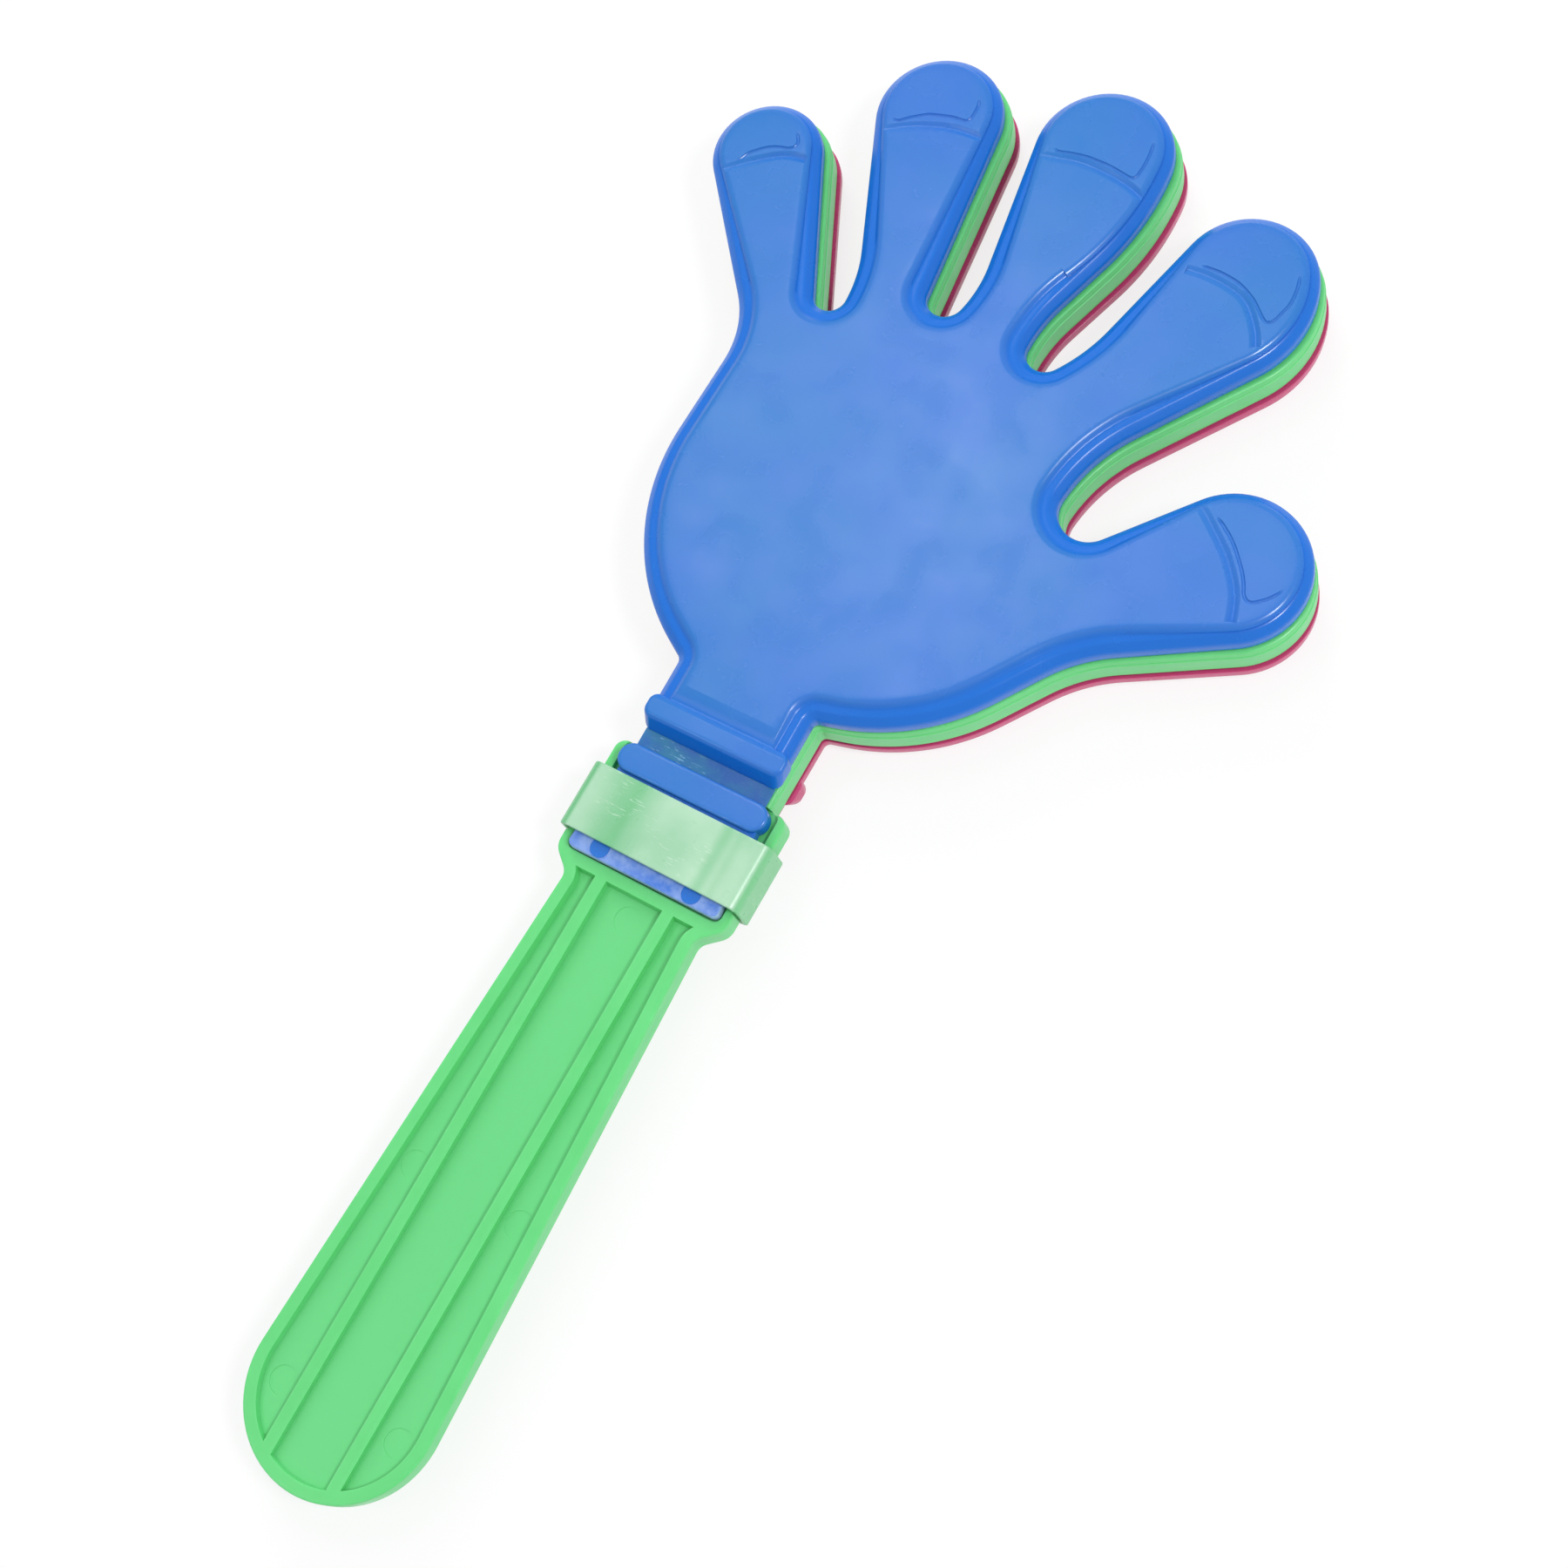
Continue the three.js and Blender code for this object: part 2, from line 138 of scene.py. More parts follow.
# The camera, and what glossy or clear surfaces show of the paper, get it nearly white,
# with the shadow kept faint
seen = addNode(paper, "ShaderNodeLightPath")
seenOrGlossy = addNode(paper, "ShaderNodeMath", {
    0: seen.outputs["Is Camera Ray"], 1: seen.outputs["Is Glossy Ray"],
}, operation="MAXIMUM")
whiteShare = addNode(paper, "ShaderNodeMath", {
    0: seenOrGlossy.outputs["Value"], 1: seen.outputs["Is Transmission Ray"],
}, operation="MAXIMUM")
whiteness = addNode(paper, "ShaderNodeMapRange", {
    "Value": whiteShare.outputs["Value"],
    "To Min": paperLook["glow"], "To Max": paperLook["white"],
})
white = addNode(paper, "ShaderNodeEmission")
paperMix = addNode(paper, "ShaderNodeMixShader", {
    0: whiteness.outputs["Result"], 1: paperShader.outputs["BSDF"], 2: white.outputs["Emission"],
})
paperOut = paper.node_tree.nodes["Material Output"]
paper.node_tree.links.new(paperMix.outputs["Shader"], paperOut.inputs["Surface"])
floor.data.materials.append(paper)


# Outlines made of round stretches that run into each other, in mm

outlining = {
    "wideFrom": 2, "wideOver": 1.2,  # insets over which a wide arc starts to hold back
    "stepAngle": 6,  # degrees from point to point at most
    "closest": 1e-3,  # points nearer than this are one
    "sameAngle": 1e-6,  # radians
}


def signedRadius(arc, inset):
    # A wide arc, at a fingertip, keeps its upper face closer to the outline than the others
    share = max(0, min(1, (inset - outlining["wideFrom"]) / outlining["wideOver"]))
    return arc["turn"] * arc["r"] - inset + arc["wide"] * share


def tangentAngle(here, there, inset):
    dx = there["x"] - here["x"]
    dy = there["y"] - here["y"]
    rise = (signedRadius(there, inset) - signedRadius(here, inset)) / math.hypot(dx, dy)
    return math.atan2(dy, dx) - math.asin(max(-1, min(1, rise)))


def turnedOn(angle, start, turn):
    # The same direction, reached from the start by less than one turn
    sweep = (turn * (angle - start)) % math.tau
    return start + turn * (0 if math.tau - sweep < outlining["sameAngle"] else sweep)


def arcPath(arcs, startAngle, endAngle, inset=0, chord=1.2, plainStart=None, plainEnd=None):
    # Every inset gets as many points as the plain outline, so that the rings can be lofted
    points = []
    angle = startAngle
    plainAngle = startAngle if plainStart is None else plainStart
    plainEnd = endAngle if plainEnd is None else plainEnd
    for number, arc in enumerate(arcs):
        last = number + 1 == len(arcs)
        leave = endAngle if last else tangentAngle(arc, arcs[number + 1], inset)
        plainLeave = plainEnd if last else tangentAngle(arc, arcs[number + 1], 0)
        leave = turnedOn(leave, angle, arc["turn"])
        plainLeave = turnedOn(plainLeave, plainAngle, arc["turn"])
        sweep = abs(plainLeave - plainAngle)
        stepAngle = math.radians(outlining["stepAngle"])
        steps = math.ceil(max(sweep / stepAngle, sweep * arc["r"] / chord, 1))
        radius = signedRadius(arc, inset)
        for step in range(steps + 1):
            at = angle + (leave - angle) * step / steps
            point = (arc["x"] + radius * math.sin(at), arc["y"] - radius * math.cos(at))
            if not points or math.dist(point, points[-1]) > outlining["closest"]:
                points.append(point)
        angle = leave
        plainAngle = plainLeave
    return points


def arc(x, y, r, turn, wide=0):
    return {"x": x, "y": y, "r": r, "turn": turn, "wide": wide}


def roundedBox(halfWidth, low, high, corner, inset=0, chord=1.2):
    arcs = [
        arc(corner - halfWidth, low + corner, corner, 1),
        arc(halfWidth - corner, low + corner, corner, 1),
        arc(halfWidth - corner, high - corner, corner, 1),
        arc(corner - halfWidth, high - corner, corner, 1),
    ]
    return arcPath(arcs, -math.pi / 2, -math.pi / 2, inset, chord)[:-1]


# Modelling steps, in mm

finishing = {"flatAngle": 32, "evenWeight": 80}


def raised(points, height):
    return [(x, y, height) for x, y in points]


def loft(name, rings):
    # A filled circle is extruded once for each ring, and each new edge loop is laid on it
    count = len(rings[0])
    bpy.ops.object.select_all(action="DESELECT")
    bpy.ops.mesh.primitive_circle_add(vertices=count, radius=0.01, fill_type="NGON")
    piece = bpy.context.object
    piece.name = name
    bpy.ops.object.mode_set(mode="EDIT")
    bpy.ops.mesh.select_mode(type="FACE")
    bpy.ops.mesh.select_all(action="SELECT")
    numbers = layLoop(piece, rings[0], {})
    for ring in rings[1:]:
        bpy.ops.mesh.extrude_region_move(TRANSFORM_OT_translate={"value": (0, 0, mm)})
        numbers = layLoop(piece, ring, numbers)
    finishEdit()
    return piece


def layLoop(piece, ring, before):
    # Each corner takes the place along the loop of the corner that it was extruded from
    work = bmesh.from_edit_mesh(piece.data)
    numbers = {}
    for corner in work.verts:
        if corner.select:
            partners = [edge.other_vert(corner).index for edge in corner.link_edges]
            numbers[corner.index] = next((before[p] for p in partners if p in before), corner.index)
            corner.co = Vector(ring[numbers[corner.index]]) * mm
    bmesh.update_edit_mesh(piece.data)
    return numbers


def finishEdit():
    bpy.ops.mesh.select_all(action="SELECT")
    bpy.ops.mesh.normals_make_consistent(inside=False)
    bpy.ops.object.mode_set(mode="OBJECT")


def box(name, low, high):
    bpy.ops.object.select_all(action="DESELECT")
    middle = [(a + b) / 2 * mm for a, b in zip(low, high)]
    size = [(b - a) * mm for a, b in zip(low, high)]
    bpy.ops.mesh.primitive_cube_add(size=1, location=middle, scale=size)
    piece = bpy.context.object
    piece.name = name
    bpy.ops.object.transform_apply(location=True, rotation=True, scale=True)
    return piece


def disc(x, y, z, radius, depth, sides):
    # An upright pin, or the cutter for its mark, with its middle at z
    bpy.ops.object.select_all(action="DESELECT")
    bpy.ops.mesh.primitive_cylinder_add(
        vertices=sides, radius=radius * mm, depth=depth * mm, location=(x * mm, y * mm, z * mm))
    bpy.ops.object.transform_apply(location=True, rotation=True, scale=True)
    return bpy.context.object


def combine(piece, operation, tools):
    for tool in tools:
        bpy.ops.object.select_all(action="DESELECT")
        bpy.context.view_layer.objects.active = piece
        piece.select_set(True)
        change = piece.modifiers.new(operation, "BOOLEAN")
        change.operation = operation
        change.solver = "EXACT"
        change.object = tool
        bpy.ops.object.modifier_apply(modifier=change.name)
        bpy.data.objects.remove(tool)


def tube(name, path, radius, sides=10):
    # A fine round bar along a path in the plane of a face
    path = [Vector(p) for p in path]
    rings = []
    for number, point in enumerate(path):
        along = path[min(number + 1, len(path) - 1)] - path[max(number - 1, 0)]
        across = along.cross(Vector((0, 0, 1))).normalized()
        up = across.cross(along).normalized()
        ring = []
        for side in range(sides):
            angle = math.tau * side / sides
            ring.append(point + (across * math.cos(angle) + up * math.sin(angle)) * radius)
        rings.append(ring)
    return loft(name, rings)


def smoothPath(points, spacing):
    # Rounds a run of measured points with a spline through them
    points = [Vector(p) for p in points]
    ends = [2 * points[0] - points[1]] + points + [2 * points[-1] - points[-2]]
    path = []
    for a, b, c, d in zip(ends, ends[1:], ends[2:], ends[3:]):
        steps = max(1, round((c - b).length / spacing))
        for step in range(steps):
            t = step / steps
            path.append(0.5 * ((2 * b) + (c - a) * t + (2 * a - 5 * b + 4 * c - d) * t * t
                               + (3 * b - a - 3 * c + d) * t ** 3))
    path.append(points[-1])
    return path


def duplicate(piece, name):
    bpy.ops.object.select_all(action="DESELECT")
    piece.select_set(True)
    bpy.context.view_layer.objects.active = piece
    bpy.ops.object.duplicate()
    copy = bpy.context.object
    copy.name = name
    return copy


def finishPiece(piece, seat, material):
    # Sets the piece down in its seat, then smooths it, with its flat faces kept flat
    bpy.ops.object.select_all(action="DESELECT")
    piece.select_set(True)
    bpy.context.view_layer.objects.active = piece
    centre = Vector((0, seat["pivotY"] * mm, 0))
    piece.matrix_world = (
        Matrix.Translation(setDown + centre)
        @ Matrix.Rotation(math.radians(seat["turn"]), 4, "Z")
        @ Matrix.Diagonal((1, 1, seat["side"], 1))
        @ Matrix.Translation(-centre)
    )
    bpy.ops.object.transform_apply(location=True, rotation=True, scale=True)
    bpy.ops.object.mode_set(mode="EDIT")
    finishEdit()
    bpy.ops.object.shade_smooth_by_angle(angle=math.radians(finishing["flatAngle"]))
    even = piece.modifiers.new("evenFaces", "WEIGHTED_NORMAL")
    even.keep_sharp = True
    even.weight = finishing["evenWeight"]
    bpy.ops.object.modifier_apply(modifier=even.name)
    piece.data.materials.clear()
    piece.data.materials.append(material)
    return piece


handleSeat = {"pivotY": 0, "turn": 0, "side": 1}
frontSeat = {"pivotY": -11.85, "turn": 0.45, "side": 1}
backSeat = {"pivotY": -11.85, "turn": -0.25, "side": -1}


# Plastics

moulding = {
    "flowFrom": 0.35, "flowTo": 0.68, "rubFrom": 0.3, "rubTo": 0.7,  # levels of the noise
    "smoother": 0.05, "rougher": 0.08,
    "ior": 1.49, "lightReach": 1.2,
}


def plastic(name, sizes):
    # Injection-moulded polypropylene: a soft gloss over faint flow marks and sink marks
    material = bpy.data.materials.new(name)
    material.use_nodes = True
    shader = material.node_tree.nodes["Principled BSDF"]
    place = addNode(material, "ShaderNodeTexCoord").outputs["Object"]
    flow = addNode(material, "ShaderNodeTexNoise", {
        "Vector": place, "Scale": 1 / (sizes["flowMark"] * mm), "Detail": 3, "Roughness": 0.55,
    })
    flowShare = addNode(material, "ShaderNodeMapRange", {
        "Value": flow.outputs["Fac"],
        "From Min": moulding["flowFrom"], "From Max": moulding["flowTo"],
    })
    flowColour = addNode(material, "ShaderNodeMix", {
        "Factor": flowShare.outputs["Result"],
        6: linearColour(sizes["deep"]), 7: linearColour(sizes["colour"]),
    }, data_type="RGBA")
    # Colour changes with the distance from the middle plane, or for the band from its middle; on
    # the hands, soles, handle and band the edge colour is painted shade
    along = addNode(material, "ShaderNodeSeparateXYZ", {"Vector": place})
    fromMiddle = addNode(material, "ShaderNodeMath", {
        0: along.outputs[sizes["axis"]], 1: sizes["middle"] * mm,
    }, operation="SUBTRACT")
    distance = addNode(material, "ShaderNodeMath", {
        0: fromMiddle.outputs["Value"],
    }, operation="ABSOLUTE")
    face = addNode(material, "ShaderNodeMapRange", {
        "Value": distance.outputs["Value"],
        "From Min": sizes["edgeAt"] * mm, "From Max": sizes["faceAt"] * mm,
    }, interpolation_type="SMOOTHSTEP")
    colour = addNode(material, "ShaderNodeMix", {
        "Factor": face.outputs["Result"],
        6: linearColour(sizes["edge"]), 7: flowColour.outputs[2],
    }, data_type="RGBA")
    material.node_tree.links.new(colour.outputs[2], shader.inputs["Base Color"])
    rub = addNode(material, "ShaderNodeTexNoise", {
        "Vector": place, "Scale": 1 / (sizes["rubMark"] * mm), "Detail": 4,
    })
    rough = addNode(material, "ShaderNodeMapRange", {
        "Value": rub.outputs["Fac"],
        "From Min": moulding["rubFrom"], "From Max": moulding["rubTo"],
        "To Min": sizes["roughness"] - moulding["smoother"],
        "To Max": sizes["roughness"] + moulding["rougher"],
    })
    material.node_tree.links.new(rough.outputs["Result"], shader.inputs["Roughness"])
    sink = addNode(material, "ShaderNodeTexNoise", {
        "Vector": place, "Scale": 1 / (sizes["sinkMark"] * mm), "Detail": 1,
    })
    sinkBump = addNode(material, "ShaderNodeBump", {
        "Height": sink.outputs["Fac"], "Strength": 1, "Distance": sizes["sinkDepth"] * mm,
    })
    skin = addNode(material, "ShaderNodeTexNoise", {
        "Vector": place, "Scale": 1 / (sizes["grain"] * mm), "Detail": 2,
    })
    skinBump = addNode(material, "ShaderNodeBump", {
        "Height": skin.outputs["Fac"], "Strength": 1, "Distance": sizes["grainDepth"] * mm,
        "Normal": sinkBump.outputs["Normal"],
    })
    material.node_tree.links.new(skinBump.outputs["Normal"], shader.inputs["Normal"])
    shader.inputs["IOR"].default_value = moulding["ior"]
    shader.inputs["Subsurface Weight"].default_value = sizes["milky"]
    shader.inputs["Subsurface Radius"].default_value = (1, 1, 1)
    shader.inputs["Subsurface Scale"].default_value = moulding["lightReach"] * mm
    return material


def recolour(material, share, hexCode):
    # Lays a colour over the base colour where the share asks for it
    shader = material.node_tree.nodes["Principled BSDF"]
    below = shader.inputs["Base Color"].links[0].from_socket
    colour = addNode(material, "ShaderNodeMix", {
        "Factor": share, 6: below, 7: linearColour(hexCode),
    }, data_type="RGBA")
    material.node_tree.links.new(colour.outputs[2], shader.inputs["Base Color"])


def specks(material, sizes):
    # Dark grains of charred plastic that got into the moulding
    place = addNode(material, "ShaderNodeTexCoord").outputs["Object"]
    cells = addNode(material, "ShaderNodeTexVoronoi", {
        "Vector": place, "Scale": 1 / (sizes["speckSpacing"] * mm),
    })
    grain = addNode(material, "ShaderNodeMath", {
        0: cells.outputs["Distance"], 1: sizes["speckRadius"] / sizes["speckSpacing"],
    }, operation="LESS_THAN")
    recolour(material, grain.outputs["Value"], sizes["speckColour"])


scuffing = {
    "drawnOut": 0.14,  # width of a stroke over its length
    "strokeFrom": 0.62, "strokeTo": 0.7, "patchFrom": 0.5, "patchTo": 0.6,  # levels of the noise
}


def dashes(material, sizes):
    # Stress marks or scuffs: short pale strokes along X, gathered in patches
    place = addNode(material, "ShaderNodeTexCoord").outputs["Object"]
    drawnOut = addNode(material, "ShaderNodeMapping", {
        "Vector": place, "Scale": (scuffing["drawnOut"], 1, 1),
    })
    strokes = addNode(material, "ShaderNodeTexNoise", {
        "Vector": drawnOut.outputs["Vector"], "Scale": 1 / (sizes["dashWidth"] * mm), "Detail": 1,
    })
    patches = addNode(material, "ShaderNodeTexNoise", {
        "Vector": place, "Scale": 1 / (sizes["dashPatch"] * mm), "Detail": 0,
    })
    stroke = addNode(material, "ShaderNodeMapRange", {
        "Value": strokes.outputs["Fac"],
        "From Min": scuffing["strokeFrom"], "From Max": scuffing["strokeTo"],
    })
    patch = addNode(material, "ShaderNodeMapRange", {
        "Value": patches.outputs["Fac"],
        "From Min": scuffing["patchFrom"], "From Max": scuffing["patchTo"],
        "To Max": sizes["dashStrength"],
    })
    share = addNode(material, "ShaderNodeMath", {
        0: stroke.outputs["Result"], 1: patch.outputs["Result"],
    }, operation="MULTIPLY")
    recolour(material, share.outputs["Value"], sizes["dashColour"])


def paintedShadeStripes(material, sizes):
    # Painted shade: soft darker stripes along Y on the clear band, where the foot and its pins lie
    # under it, with a broad one over its left half
    place = addNode(material, "ShaderNodeTexCoord").outputs["Object"]
    along = addNode(material, "ShaderNodeSeparateXYZ", {"Vector": place})
    for at, width, strength in sizes["stripes"]:
        off = addNode(material, "ShaderNodeMath", {
            0: along.outputs["X"], 1: at * mm,
        }, operation="SUBTRACT")
        distance = addNode(material, "ShaderNodeMath", {
            0: off.outputs["Value"],
        }, operation="ABSOLUTE")
        share = addNode(material, "ShaderNodeMapRange", {
            "Value": distance.outputs["Value"],
            "From Min": width / 2 * mm, "From Max": 0, "To Max": strength,
        }, interpolation_type="SMOOTHSTEP")
        recolour(material, share.outputs["Result"], sizes["shadeStripeColour"])


# On the hands the edge colour is painted shade: the slopes, sides, valleys and neck hollow below
# the plateau are darker than the lit faces
handFinish = {
    "axis": "Z", "middle": 8.1, "edgeAt": 7.1, "faceAt": 8.0, "milky": 0.1,
    "flowMark": 28, "rubMark": 9, "roughness": 0.24, "sinkMark": 22, "sinkDepth": 0.35,
    "grain": 0.8, "grainDepth": 0.006,
}
blueFinish = {**handFinish, "colour": "#3576d0", "deep": "#2b79c9", "edge": "#126fd4"}
pinkFinish = {**handFinish, "colour": "#d9538c", "deep": "#d24b84", "edge": "#cc3f78"}
# The stop bars' tops get the palm colour, and their sides and the lower sole get the painted shade
# of the edge colour
soleHeights = {"edgeAt": 3.6, "faceAt": 4.8}
# The strip of the sole that shows beyond the band is rougher and paler
footFinish = {
    **handFinish, "edgeAt": 3.7, "faceAt": 3.85,
    "flowMark": 2.2, "roughness": 0.36, "grain": 0.6, "grainDepth": 0.04,
}
blueFootFinish = {**footFinish, "colour": "#4a7edb", "deep": "#88a8e8", "edge": "#a9c4f2"}
pinkFootFinish = {**footFinish, "colour": "#d9538c", "deep": "#e58cb2", "edge": "#ea9abd"}
# A web is so thin that the green below it mixes with its colour, and bending has marked it
webFinish = {
    **handFinish, "edgeAt": 3, "faceAt": 3.3, "flowMark": 5, "grain": 0.5, "grainDepth": 0.02,
    "dashWidth": 0.22, "dashPatch": 5, "dashStrength": 0.7,
}
blueWebFinish = {
    **webFinish, "colour": "#1c7ca6", "deep": "#0f5fae", "edge": "#1c7ca6",
    "dashColour": "#8fc6e0",
}
pinkWebFinish = {
    **webFinish, "colour": "#b84a6c", "deep": "#a84064", "edge": "#b84a6c",
    "dashColour": "#f0bccc",
}
greenFinish = {
    "axis": "Z", "middle": 8.1, "edgeAt": 0.7, "faceAt": 1.5,
    # Painted shade: the floors of the recesses, near the middle plane, are a touch less bright than
    # the rims and ribs
    "colour": "#6cdb86", "deep": "#66d680", "edge": "#6cd688",
    "flowMark": 14, "rubMark": 7, "roughness": 0.34, "sinkMark": 12, "sinkDepth": 0.12,
    "grain": 0.8, "grainDepth": 0.006,
    "speckSpacing": 24, "speckRadius": 0.3, "speckColour": "#2f6b3c", "milky": 0.35,
}
bandFinish = {
    # The edge colour is painted shade on the band's two side walls
    "axis": "X", "middle": 0, "edgeAt": 17.6, "faceAt": 17.0,
    "colour": "#b6dec0", "deep": "#a0d2ae", "edge": "#7fcb93", "milky": 0.2,
    "flowMark": 13, "rubMark": 3, "roughness": 0.3, "sinkMark": 8, "sinkDepth": 0.25,
    "grain": 0.5, "grainDepth": 0.01,
    # Place along X, width and strength of each stripe of painted shade
    "stripes": [
        (-16.9, 2, 1), (-8.6, 15, 0.75), (-7.6, 3.4, 0.5), (9.9, 4, 0.5), (12.4, 3, 0.25),
    ],
    "shadeStripeColour": "#6fbf86",
    "dashWidth": 0.24, "dashPatch": 6, "dashStrength": 0.35, "dashColour": "#dff3e3",
}
blue = plastic("mouldedPolypropyleneBlue", blueFinish)
pink = plastic("mouldedPolypropylenePink", pinkFinish)
soleBlue = plastic("mouldedPolypropyleneBlueFoot", {**blueFinish, **soleHeights})
solePink = plastic("mouldedPolypropylenePinkFoot", {**pinkFinish, **soleHeights})
footBlue = plastic("roughPolypropyleneBlue", blueFootFinish)
footPink = plastic("roughPolypropylenePink", pinkFootFinish)
webBlue = plastic("bentPolypropyleneBlue", blueWebFinish)
webPink = plastic("bentPolypropylenePink", pinkWebFinish)
green = plastic("mouldedPolypropyleneGreen", greenFinish)
specks(green, greenFinish)
paleGreen = plastic("clearPolypropyleneBand", bandFinish)
paintedShadeStripes(paleGreen, bandFinish)
dashes(paleGreen, bandFinish)
dashes(webBlue, blueWebFinish)
dashes(webPink, pinkWebFinish)


# Hands

print("Modelling the outer hands")
hand = {
    "neckHalfWidth": 13.4,
    "endStep": 0.1,
    "neckThumbSide": (14.4, 14.1, 1),
    "palmThumbSide": (7, 53.9, 39.4),
    "thumbRoot": (67.6, 22.2, 28.4),
    "thumbTip": (63.8, 68.5, 13.7),
    "thumbGap": (37.9, 68, 5.4),
    "indexTip": (42.4, 117, 12.5),
    "indexGap": (17.1, 91.4, 3.5),
    "middleTip": (8.1, 129.8, 12.7),
    "middleGap": (-4.1, 93.8, 3.4),
    "ringTip": (-23, 125.7, 11.8),
    "ringGap": (-23.6, 86.2, 2.9),
    "littleTip": (-48.6, 106.7, 10.4),
    "littleRoot": (-53.5, 67.9, 18.3),
    "palmLittleSide": (3.9, 50.8, 39.8),
    "neckLittleSide": (-15, 13.8, 1.6),
    "tipWide": 1.4,
    # Radius and direction of the flatter stretches: first on the thumb sides of two fingers,
    # then on the little finger sides of three, where they run down into the gap
    "indexHollow": (29.9, -4.7),
    "indexBelly": (19.6, 25.4),
    "middleHollow": (27.8, 0.6),
    "middleBelly": (49.1, 5.6),
    "indexFlank": (31.1, 144.1),
    "middleFlank": (23.3, 166.2),
    "ringFlank": (26.7, 181.7),
}


def sideArc(end, stretch):
    # A flatter arc that carries on the curve of a fingertip or a gap
    radius, angle = stretch
    offset = end["turn"] * (end["r"] - radius)
    return arc(end["x"] + offset * math.cos(math.radians(angle)),
               end["y"] + offset * math.sin(math.radians(angle)), radius, end["turn"], end["wide"])


thumbGap = arc(*hand["thumbGap"], -1)
indexTip = arc(*hand["indexTip"], 1, hand["tipWide"])
indexGap = arc(*hand["indexGap"], -1)
middleTip = arc(*hand["middleTip"], 1, hand["tipWide"])
middleGap = arc(*hand["middleGap"], -1)
ringGap = arc(*hand["ringGap"], -1)
handArcs = [
    arc(*hand["neckThumbSide"], -1),
    arc(*hand["palmThumbSide"], 1),
    arc(*hand["thumbRoot"], -1),
    arc(*hand["thumbTip"], 1, hand["tipWide"]),
    thumbGap,
    sideArc(thumbGap, hand["indexHollow"]),
    sideArc(indexTip, hand["indexBelly"]),
    indexTip,
    sideArc(indexGap, hand["indexFlank"]),
    indexGap,
    sideArc(indexGap, hand["middleHollow"]),
    sideArc(middleTip, hand["middleBelly"]),
    middleTip,
    sideArc(middleGap, hand["middleFlank"]),
    middleGap,
    arc(*hand["ringTip"], 1, hand["tipWide"]),
    sideArc(ringGap, hand["ringFlank"]),
    ringGap,
    arc(*hand["littleTip"], 1, hand["tipWide"]),
    arc(*hand["littleRoot"], -1),
    arc(*hand["palmLittleSide"], 1),
    arc(*hand["neckLittleSide"], -1),
]


def handOutline(inset, neckY):
    # Each parallel outline ends a little further up the neck, so that no two ends coincide
    points = arcPath(handArcs, math.pi / 2, 3 * math.pi / 2, inset)
    neck = hand["neckHalfWidth"] - inset
    endY = neckY + hand["endStep"] * inset
    return [(neck, endY)] + points + [(-neck, endY)]


outerHand = {
    "baseZ": 3.6,
    "height": 4.43,
    # Distance in from the outline and height: from the ceiling of the hollow out to the rim,
    "hollow": [
        (5.2, 2.7), (4.4, 2.7), (3.2, 2.66), (2.3, 2.5), (1.75, 2.1), (1.55, 1.5), (1.4, 0.1),
        (1.3, 0),
    ],
    # and from the rim over the shoulder up to the plateau
    "skin": [
        (0.19, 0), (0.1, 0.06), (0.07, 0.2), (0.08, 0.9), (0.1, 1.5), (0.15, 1.85), (0.24, 2.12),
        (0.4, 2.34), (0.7, 2.62), (1.1, 2.98), (1.4, 3.22), (1.56, 3.32), (1.75, 3.39),
        (2.0, 3.44), (2.4, 3.48), (2.75, 3.53), (2.92, 3.62), (3.2, 3.85), (3.5, 4.1),
        (3.68, 4.22), (3.88, 4.32), (4.12, 4.39), (4.4, 4.43), (5.3, 4.43),
    ],
    "hollowStartY": 9.6,
    "skinStartY": 6.1,
    "ridgeNearY": 1.5,
    "ridgeFarY": 7.4,
    "ridgeLean": 1.8,
    "ridgeHalfWidth": 13.8,
    "ridgeCorner": 1.7,
    "ridgeEdge": 0.7,
    "ridgeDrop": 0.25,
    # Height over the base and inset of its foot, then degrees round its upper edge
    "ridgeFoot": [(0.03, 0.5), (0.4, 0.1), (1, 0)],
    "ridgeRound": (0, 20, 40, 55, 70, 90),
    "ridgeChord": 0.4,
    "neckCutHalf": 16,
    # Soft hollow across the neck behind the ridge: Y, and depth under the plateau
    "neckHollow": [
        (5.4, -0.3), (6.0, 0.2), (6.5, 0.32), (6.9, 0.46), (7.25, 0.58), (7.6, 0.6), (7.95, 0.52),
        (8.4, 0.38), (9.0, 0.22), (9.7, 0.09), (10.4, 0.02), (10.8, -0.05),
    ],
}
